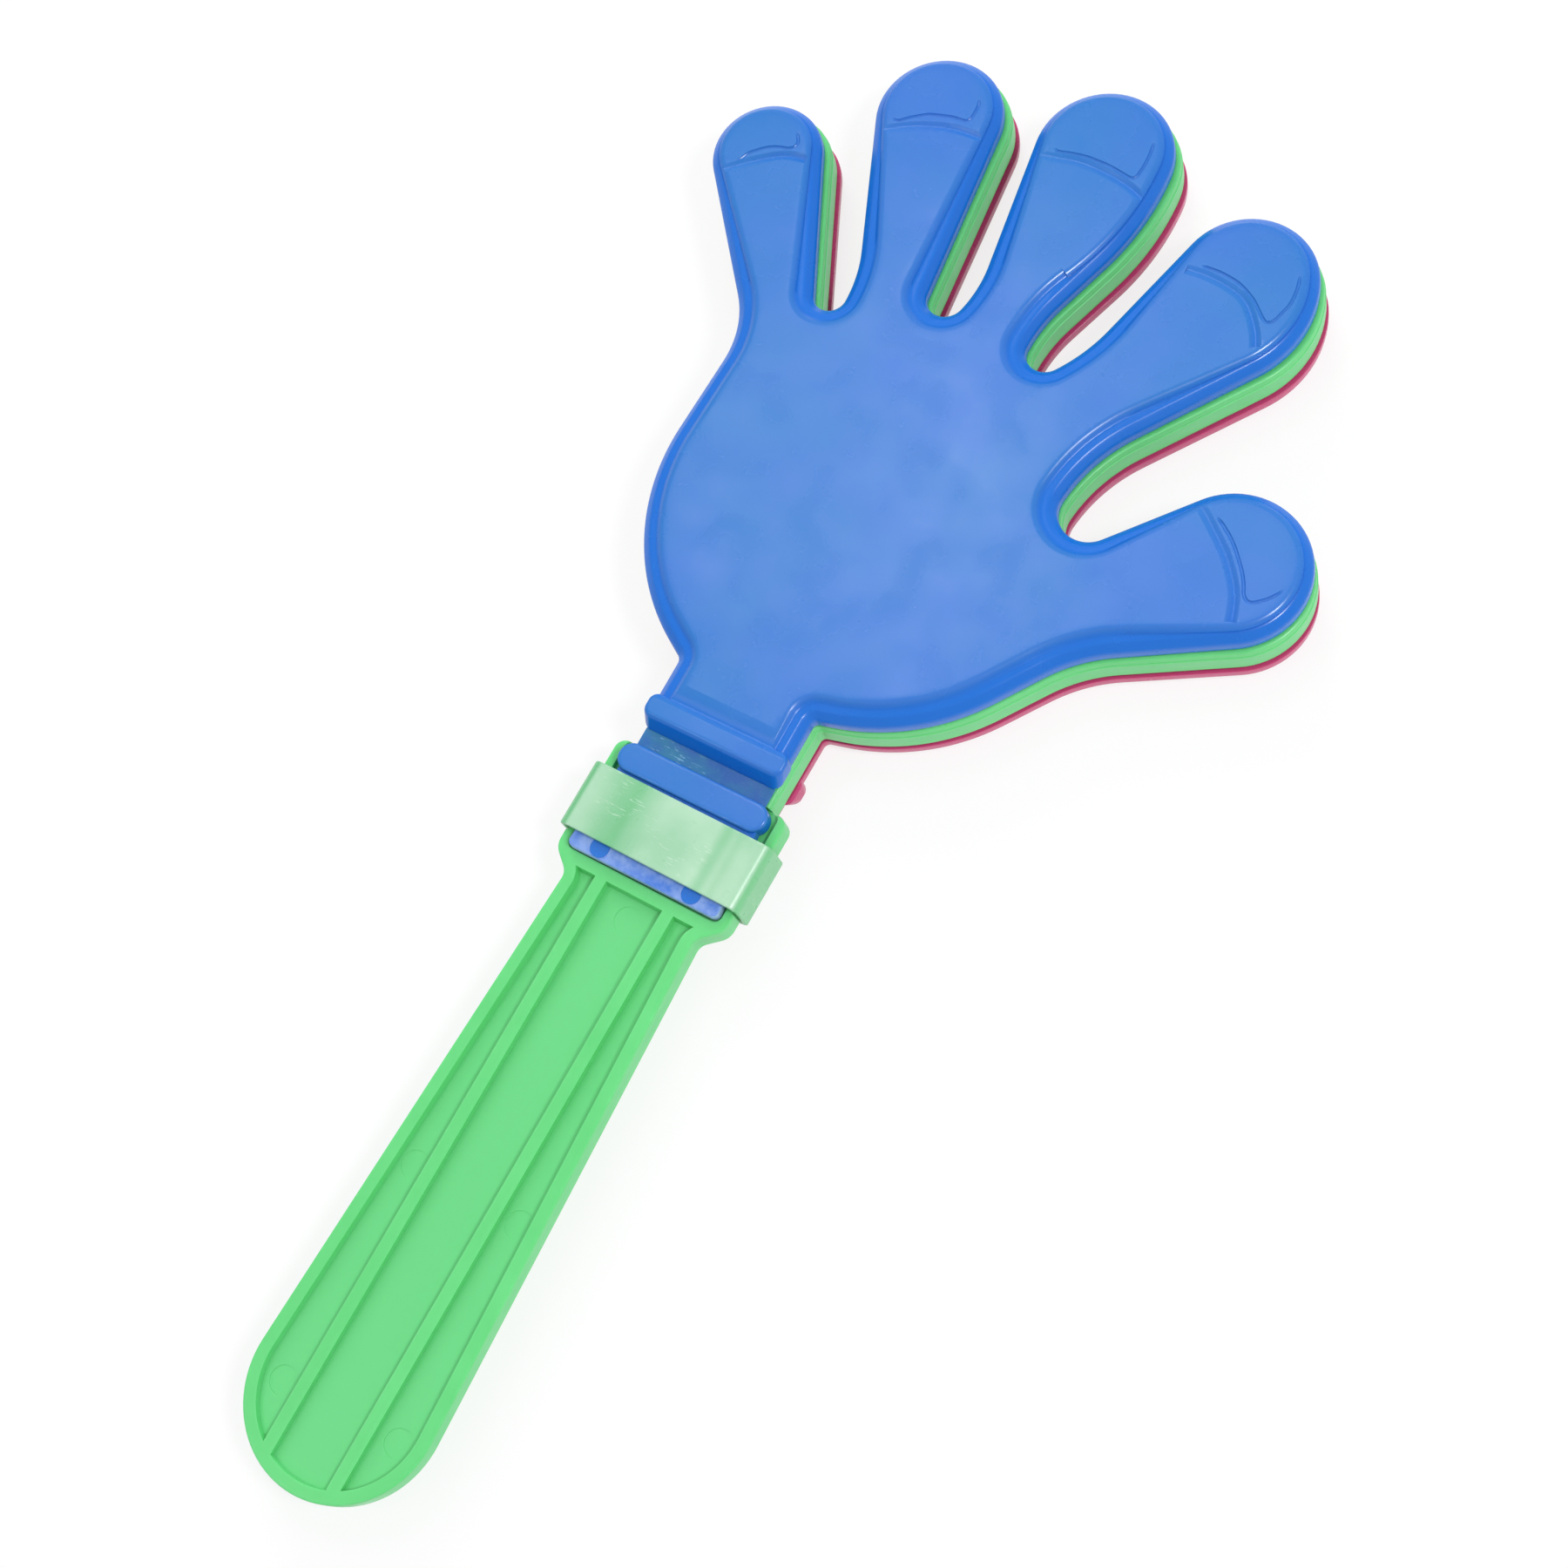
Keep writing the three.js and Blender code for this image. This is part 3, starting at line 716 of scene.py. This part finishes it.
# The valley behind each nail plate and the engraved line round the nail, from the little
# finger side to the thumb side; both are read off the photo
fingers = {
    "thumb": {
        "valley": [
            (54, 76), (56.2, 74.6), (59.7, 71.8), (62.3, 69.6), (64.3, 67.4), (65.8, 65.5),
            (67, 63.6), (67.9, 61.4), (68.6, 59.1),
        ],
        "nail": [
            (57.7, 75.2), (59.6, 74.1), (61.6, 72.7), (63.3, 71.2), (64.6, 69.8), (66.3, 67.8),
            (67.5, 66), (68.3, 64.4), (69.2, 63.6), (70.1, 63.6), (71.3, 64.4), (72.5, 65.6),
            (73.4, 66.9), (73.8, 68.1),
        ],
    },
    "index": {
        "valley": [
            (32.5, 114.2), (36.3, 114.4), (40.1, 114), (42.8, 113.3), (44.7, 112.3),
            (46.4, 110.7), (47.8, 109), (48.8, 107.6), (49.9, 105.4),
        ],
        "nail": [
            (34.1, 115.7), (36.1, 115.8), (38.5, 115.8), (41, 115.4), (42.4, 115), (43.9, 114.3),
            (45.9, 113.1), (47.5, 111.7), (48.6, 110.8), (49.4, 110.3), (50.1, 110.5),
            (50.7, 111.4), (51.1, 112.9), (51.6, 114.7), (51.6, 116.8), (51.2, 119.2),
            (50.5, 120.9),
        ],
    },
    "middle": {
        "valley": [
            (-2, 124.4), (1.4, 125), (5.4, 125.8), (9.3, 125.8), (13, 125.4), (15.9, 124.8),
            (17.6, 124.2), (20.7, 122.9),
        ],
        "nail": [
            (0.1, 127.2), (1, 126.3), (3.6, 126.8), (6.3, 127.2), (8.6, 127.2), (11, 127.1),
            (13.4, 126.7), (15, 126.4), (15.7, 126.4), (16.3, 126.9), (16.5, 128), (16.6, 130),
            (16.4, 132.5), (15.9, 134.8),
        ],
    },
    "ring": {
        "valley": [
            (-31.5, 117.4), (-29.1, 119), (-27, 120.2), (-24.6, 121.4), (-20.6, 122.8),
            (-17.4, 123.4), (-14.5, 123.5), (-11.8, 123.5),
        ],
        "nail": [
            (-30.1, 121.6), (-29, 120.8), (-28.3, 121), (-26.9, 122.2), (-25.6, 123.1),
            (-23.8, 124.2), (-21.7, 124.8), (-19.6, 125.3), (-17.9, 125.4), (-16.8, 125.6),
            (-16.4, 126.2), (-16.3, 127.4), (-16.4, 129.3), (-17.2, 130.9),
        ],
    },
    "little": {
        "valley": [
            (-54.6, 99.1), (-52.1, 101.2), (-49.6, 103.3), (-46.3, 105.7), (-43.4, 107.1),
            (-40.3, 107.6),
        ],
        "nail": [
            (-52.8, 102.4), (-51.6, 103), (-50.9, 104.5), (-49.5, 105.9), (-47.8, 107.2),
            (-46, 107.9), (-44.4, 108.3), (-43.5, 109), (-43.3, 109.9), (-43.8, 110.8),
            (-45, 112.3),
        ],
    },
}
valley = {
    "width": 2.4, "depth": 0.6, "spacing": 0.7, "sideSteps": 5,
    "farShare": 0.4,  # depth at the little finger side, of that at the thumb side
    "above": 0.02,
}
nailLine = {"radius": 0.32, "depth": 0.3, "spacing": 0.5, "fade": 1.6, "endLift": 1.5}

plateauZ = outerHand["baseZ"] + outerHand["height"]
cutReach = 1  # how far a cutter stands out of the face that it cuts


def valleyCutter(finger):
    # A bell-shaped section follows the valley and gets deeper towards the thumb side
    half = valley["width"] / 2
    sideSteps = valley["sideSteps"]
    asides = [half * (step / sideSteps - 1) for step in range(2 * sideSteps + 1)]
    bell = [(aside, 0.5 + 0.5 * math.cos(math.pi * aside / half)) for aside in asides]
    path = [point.to_3d() for point in smoothPath(finger["valley"], valley["spacing"])]
    rings = []
    for number, point in enumerate(path):
        along = path[min(number + 1, len(path) - 1)] - path[max(number - 1, 0)]
        across = along.cross(Vector((0, 0, -1))).normalized()
        far = valley["farShare"]
        depth = valley["depth"] * (far + (1 - far) * number / len(path))
        section = [(aside, plateauZ + valley["above"] - depth * dip) for aside, dip in bell]
        section += [(half, plateauZ + cutReach), (-half, plateauZ + cutReach)]
        rings.append([point + across * aside + Vector((0, 0, z)) for aside, z in section])
    return loft("valley", rings)


def nailTube(finger):
    # The tool sinks into the face away from its two ends
    radius = nailLine["radius"]
    depth = nailLine["depth"]
    path = smoothPath(finger["nail"], nailLine["spacing"])
    length = [0]
    for a, b in zip(path, path[1:]):
        length.append(length[-1] + (b - a).length)
    placed = []
    for point, run in zip(path, length):
        lift = max(0, 1 - min(run, length[-1] - run) / nailLine["fade"])
        up = lift * depth * nailLine["endLift"]
        placed.append((point.x, point.y, plateauZ + radius - depth + up))
    return tube("nailLine", placed, radius)


rings = [raised(handOutline(inset, outerHand["hollowStartY"]), outerHand["baseZ"] + height)
         for inset, height in outerHand["hollow"]]
rings += [raised(handOutline(inset, outerHand["skinStartY"]), outerHand["baseZ"] + height)
          for inset, height in outerHand["skin"]]
outer = loft("front_hand_shell", rings)


def ridgeRing(z, inset):
    # The near side of the ridge leans back as it rises
    rise = (z - outerHand["baseZ"]) / outerHand["height"]
    nearY = outerHand["ridgeNearY"] + outerHand["ridgeLean"] * rise
    outline = roundedBox(outerHand["ridgeHalfWidth"], nearY, outerHand["ridgeFarY"],
                         outerHand["ridgeCorner"], inset, outerHand["ridgeChord"])
    return raised(outline, z)


ridgeTop = plateauZ - outerHand["ridgeDrop"]
edge = outerHand["ridgeEdge"]
rings = [ridgeRing(outerHand["baseZ"] + up, inset) for up, inset in outerHand["ridgeFoot"]]
for angle in map(math.radians, outerHand["ridgeRound"]):
    rings.append(ridgeRing(ridgeTop - edge * (1 - math.sin(angle)), edge * (1 - math.cos(angle))))
combine(outer, "UNION", [loft("ridge", rings)])
section = [(y, plateauZ - depth) for y, depth in outerHand["neckHollow"]]
section += [(section[-1][0], plateauZ + cutReach), (section[0][0], plateauZ + cutReach)]
rings = [[(x, y, z) for y, z in section]
         for x in (-outerHand["neckCutHalf"], outerHand["neckCutHalf"])]
combine(outer, "DIFFERENCE", [loft("neckHollow", rings)])
for finger in fingers.values():
    combine(outer, "DIFFERENCE", [valleyCutter(finger)])
for finger in fingers.values():
    combine(outer, "DIFFERENCE", [nailTube(finger)])

frontHand = duplicate(outer, "front_hand_moulding")
finishPiece(frontHand, frontSeat, blue)
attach(frontHand, "front_hand")
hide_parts("front_hand")
backHand = duplicate(outer, "back_hand_moulding")
finishPiece(backHand, backSeat, pink)
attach(backHand, "back_hand")
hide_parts("back_hand")
bpy.data.objects.remove(outer)


# Feet and webs

print("Modelling the feet and webs")
foot = {
    "halfWidth": 15, "nearHalfWidth": 13.6, "corner": 1.2, "nearCorner": 2.5,
    "nearY": -1.5, "farY": -22.2, "baseZ": 1.5, "topZ": 3.9, "edge": 0.25, "chord": 0.4,
    "barHalfWidth": 14.7, "barWidth": 5.2, "barLift": 0.2, "barZ": 5.0, "barEdge": 0.45,
    "barEndFlat": 0.05, "barChord": 0.5,
    "pinX": 9.2, "pinY": -20.3, "pinRadius": 1.75, "pinRise": 0.12, "pinDepth": 1, "pinSides": 40,
    "stripY": -19,  # beyond it the sole shows past the band
    "pinFrom": 0.05,  # a face this high over the sole is a pin's
}
# Inset and distance from the face round an edge, as shares of its radius
brokenEdge = ((0.5, 0), (0, 0.5))
roundEdge = ((0, 1), (0.13, 0.5), (0.5, 0.13), (1, 0))
faceRing = 0.3  # further inset of the ring that keeps the face flat


def edgeRings(outline, low, high, edge):
    # Rings round a slab whose lower edge is broken and whose upper edge is rounded
    rings = [raised(outline(edge * inset), low + edge * up) for inset, up in brokenEdge]
    rings += [raised(outline(edge * inset), high - edge * down) for inset, down in roundEdge]
    return rings + [raised(outline(edge + faceRing), high)]


def soleOutline(inset):
    # The sole is narrower under the stop bar than beyond the band
    corner = foot["corner"]
    near = foot["nearCorner"]
    arcs = [
        arc(corner - foot["halfWidth"], foot["farY"] + corner, corner, 1),
        arc(foot["halfWidth"] - corner, foot["farY"] + corner, corner, 1),
        arc(foot["nearHalfWidth"] - near, foot["nearY"] - near, near, 1),
        arc(near - foot["nearHalfWidth"], foot["nearY"] - near, near, 1),
    ]
    lean = tangentAngle(arcs[3], arcs[0], 0)
    return arcPath(arcs, lean, lean, inset, foot["chord"])[:-1]


def barOutline(inset):
    return roundedBox(foot["barHalfWidth"], foot["nearY"] - foot["barWidth"], foot["nearY"],
                      foot["barWidth"] / 2 - foot["barEndFlat"], inset, foot["barChord"])


sole = loft("foot", edgeRings(soleOutline, foot["baseZ"], foot["topZ"], foot["edge"]))
bar = loft("stopBar", edgeRings(barOutline, foot["baseZ"] + foot["barLift"], foot["barZ"],
                                foot["barEdge"]))
combine(sole, "UNION", [bar])
for side in (-1, 1):
    pinZ = foot["topZ"] + foot["pinRise"] - foot["pinDepth"] / 2
    combine(sole, "UNION", [disc(side * foot["pinX"], foot["pinY"], pinZ,
                                 foot["pinRadius"], foot["pinDepth"], foot["pinSides"])])

bpy.context.view_layer.objects.active = sole
bpy.ops.object.mode_set(mode="EDIT")
bpy.ops.mesh.select_all(action="SELECT")
bpy.ops.mesh.bisect(plane_co=(0, foot["stripY"] * mm, 0), plane_no=(0, 1, 0))
finishEdit()

for name, seat, node, material, rough, slot in (
    ("front_foot_moulding", frontSeat, "front_foot", soleBlue, footBlue, "blue"),
    ("back_foot_moulding", backSeat, "back_foot", solePink, footPink, "pink"),
):
    piece = duplicate(sole, name)
    finishPiece(piece, seat, material)
    piece.data.materials.append(rough)
    for face in piece.data.polygons:
        onStrip = face.center.y < setDown.y + foot["stripY"] * mm
        onPin = abs(face.center.z - setDown.z) > (foot["topZ"] + foot["pinFrom"]) * mm
        face.material_index = int(onStrip and not onPin)
    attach(piece, "handle")
    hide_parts(node)
bpy.data.objects.remove(sole)

web = {
    "halfWidth": 12.9, "halfLength": 1.9, "lowZ": 3.4, "highZ": 3.9, "steps": 14,
    "bendHalf": 1.5, "bendZ": 3.65,  # the stretch that bends, and its middle plane
}
for name, seat, body, node, material, slot in (
    ("front_hinge_web_strip", frontSeat, "front_hand", "front_hinge_web", webBlue, "blue"),
    ("back_hinge_web_strip", backSeat, "back_hand", "back_hinge_web", webPink, "pink"),
):
    strip = box(name, (-web["halfWidth"], -web["halfLength"], web["lowZ"]),
                (web["halfWidth"], web["halfLength"], web["highZ"]))
    bpy.ops.object.mode_set(mode="EDIT")
    for step in range(1, web["steps"]):
        bpy.ops.mesh.select_all(action="SELECT")
        y = (-1 + 2 * step / web["steps"]) * web["halfLength"]
        bpy.ops.mesh.bisect(plane_co=(0, y * mm, 0), plane_no=(0, 1, 0))
    finishEdit()
    finishPiece(strip, seat, material)
    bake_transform(strip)
    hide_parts(node)


# Handle and middle hand

print("Modelling the handle and middle hand")
handle = {
    "headHalf": 2.4, "endHalf": 1.7, "neckY": 1.5, "taperStartY": -24.7,
    "endY": -118.4, "endRadius": 17.3,
    "edge": 0.4, "edgeInset": 0.12, "faceInset": 0.4, "flatInset": 0.8,
    "rim": 2.2, "draft": 0.3, "floorZ": 0.45, "channelCutZ": 4,
    "ribX": 6.8, "ribHalfWidth": 1.1, "ribLowY": -140, "ribHighY": -20, "ribCutZ": 5,
    "pins": [(0.6, -28.7), (-10.2, -81.1), (11.1, -81.1), (-10.8, -121.5), (12.0, -120.3)],
    "pinRadius": 2.5, "pinMark": 0.1, "pinCut": 0.5, "pinSides": 48,
    "waistX": 16.6, "waistOutX": 30, "waistLowY": -19.9, "waistHighY": -7, "waistCutZ": 5,
}
footRecess = {
    "halfWidth": 15.5, "lowY": -22.5, "highY": -1.2, "corner": 1.5, "floorZ": 1.2, "cutZ": 6,
    "chord": 0.4,
}
handleDown = [
    arc(-14.2, -0.6, 0.8, -1),
    arc(-15.1, -3.4, 2, 1),
    arc(-13.9, -21.6, 3.2, 1),
    arc(-15.7, -27.6, 2.5, -1),
]
handleEndArc = arc(0, handle["endY"], handle["endRadius"], 1)


def mirroredArc(piece):
    return {**piece, "x": -piece["x"]}


def handleOutline(inset):
    up = [mirroredArc(a) for a in reversed(handleDown)]
    points = arcPath(handleDown + [handleEndArc] + up, -math.pi / 2, math.pi / 2, inset)
    neck = hand["neckHalfWidth"] - inset
    endY = handle["neckY"] - hand["endStep"] * inset
    return [(-neck, endY)] + points + [(neck, endY)]


def channelOutline(inset, topY):
    top = handleDown[-1]

    def startAngle(inset, topY):
        return math.acos((topY - top["y"]) / (top["r"] + inset))

    angle = startAngle(inset, topY)
    plain = startAngle(handle["rim"], handle["taperStartY"])
    return arcPath([top, handleEndArc, mirroredArc(top)], -angle, angle, inset,
                   plainStart=-plain, plainEnd=plain)


def halfThickness(y):
    bottom = handle["endY"] - handle["endRadius"]
    share = max(0, min(1, (handle["taperStartY"] - y) / (handle["taperStartY"] - bottom)))
    return handle["headHalf"] + (handle["endHalf"] - handle["headHalf"]) * share


# The slab is lofted evenly thick, cut across where the taper starts, then thinned
edge = handle["edge"] / handle["headHalf"]
upper = [(0, 1 - edge), (handle["edgeInset"], 1 - edge / 4), (handle["faceInset"], 1),
         (handle["flatInset"], 1)]
profile = [(inset, -z) for inset, z in reversed(upper)] + upper
body = loft("handle_and_hand", [raised(handleOutline(inset), z) for inset, z in profile])
bpy.ops.object.mode_set(mode="EDIT")
bpy.ops.mesh.select_all(action="SELECT")
bpy.ops.mesh.bisect(plane_co=(0, handle["taperStartY"] * mm, 0), plane_no=(0, 1, 0))
work = bmesh.from_edit_mesh(body.data)
for corner in work.verts:
    corner.co.z *= halfThickness(corner.co.y / mm)
bmesh.update_edit_mesh(body.data)
finishEdit()

middle = {
    "rim": 1.8, "startY": 5.1, "neckY": -1.2,
    # Inset and height, round the outside with the parting line near the top
    "profile": [
        (0.9, -3.1), (0.5, -3.1), (0.2, -2.95), (0.06, -2.6), (0, -2.0), (0, 1.45), (0.14, 1.55),
        (0.16, 1.7), (0.2, 2.7), (0.32, 2.95), (0.6, 3.1), (0.95, 3.1),
    ],
    # Distance in from the rim, which also moves the near end, and height of each recess
    "recess": [(0.35, 0.6), (0.15, 0.8), (0, 2.95), (-0.15, 3.12), (-0.15, 4.1)],
}
palm = loft("middle_hand", [raised(handOutline(inset, middle["neckY"]), z)
                            for inset, z in middle["profile"]])
combine(body, "UNION", [palm])

cutters = []
for side in (-1, 1):
    cutters.append(loft("handRecess", [
        raised(handOutline(middle["rim"] + further, middle["startY"] + further), side * z)
        for further, z in middle["recess"]
    ]))
    rim = handle["rim"]
    draft = handle["draft"]
    topY = handle["taperStartY"]
    channel = loft("channel", [
        raised(channelOutline(rim + draft, topY - draft), side * handle["floorZ"]),
        raised(channelOutline(rim, topY), side * handle["headHalf"]),
        raised(channelOutline(rim, topY), side * handle["channelCutZ"]),
    ])
    half = handle["ribHalfWidth"]
    lowZ, highZ = sorted((0, side * handle["ribCutZ"]))
    for x in (-handle["ribX"], handle["ribX"]):
        rib = box("rib", (x - half, handle["ribLowY"], lowZ), (x + half, handle["ribHighY"], highZ))
        combine(channel, "DIFFERENCE", [rib])
    cutters.append(channel)
    outline = roundedBox(footRecess["halfWidth"], footRecess["lowY"], footRecess["highY"],
                         footRecess["corner"], 0, footRecess["chord"])
    cutters.append(loft("footRecess", [raised(outline, side * footRecess["floorZ"]),
                                       raised(outline, side * footRecess["cutZ"])]))
    markZ = handle["floorZ"] + handle["pinCut"] / 2 - handle["pinMark"]
    for x, y in handle["pins"]:
        cutters.append(disc(x, y, side * markZ, handle["pinRadius"], handle["pinCut"],
                            handle["pinSides"]))
    lowX, highX = sorted((side * handle["waistX"], side * handle["waistOutX"]))
    cutters.append(box("waist", (lowX, handle["waistLowY"], -handle["waistCutZ"]),
                       (highX, handle["waistHighY"], handle["waistCutZ"])))
combine(body, "DIFFERENCE", cutters)
finishPiece(body, handleSeat, green)
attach(body, "handle")
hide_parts("handle_and_middle_hand")


# Band

print("Modelling the band")
band = {
    "startY": -7.3, "width": 12.3, "halfWidth": 18.1, "halfHeight": 5.2, "wall": 1.0,
    "corner": 2.3, "edge": 0.3, "edgeMiddle": 0.08, "chord": 0.5,
}


def bandRing(inset, y):
    points = roundedBox(band["halfWidth"], -band["halfHeight"], band["halfHeight"],
                        band["corner"], inset, band["chord"])
    return [(x, y, z) for x, z in points]


# Once round the section of the wall: the outside has round edges, the inside broken ones
nearY = band["startY"]
farY = band["startY"] - band["width"]
edge = band["edge"]
middleOfEdge = band["edgeMiddle"]
wall = band["wall"]
section = [
    (edge, nearY), (middleOfEdge, nearY - middleOfEdge), (0, nearY - edge),
    (0, farY + edge), (middleOfEdge, farY + middleOfEdge), (edge, farY),
    (wall - edge, farY), (wall, farY + edge), (wall, nearY - edge), (wall - edge, nearY),
]
bandLoop = loft("retaining_band_loop", [bandRing(inset, y) for inset, y in section])
bpy.ops.object.mode_set(mode="EDIT")
bpy.ops.mesh.select_mode(type="FACE")
bpy.ops.mesh.select_all(action="DESELECT")
# The loft's two end faces go, and a bridge closes the section instead
work = bmesh.from_edit_mesh(bandLoop.data)
for face in work.faces:
    face.select = len(face.verts) > 4
bmesh.update_edit_mesh(bandLoop.data)
bpy.ops.mesh.delete(type="ONLY_FACE")
bpy.ops.mesh.select_mode(type="EDGE")
bpy.ops.mesh.select_all(action="DESELECT")
bpy.ops.mesh.select_non_manifold()
bpy.ops.mesh.bridge_edge_loops()
finishEdit()
finishPiece(bandLoop, handleSeat, paleGreen)
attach(bandLoop, "handle")
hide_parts("retaining_band")

print("Done")
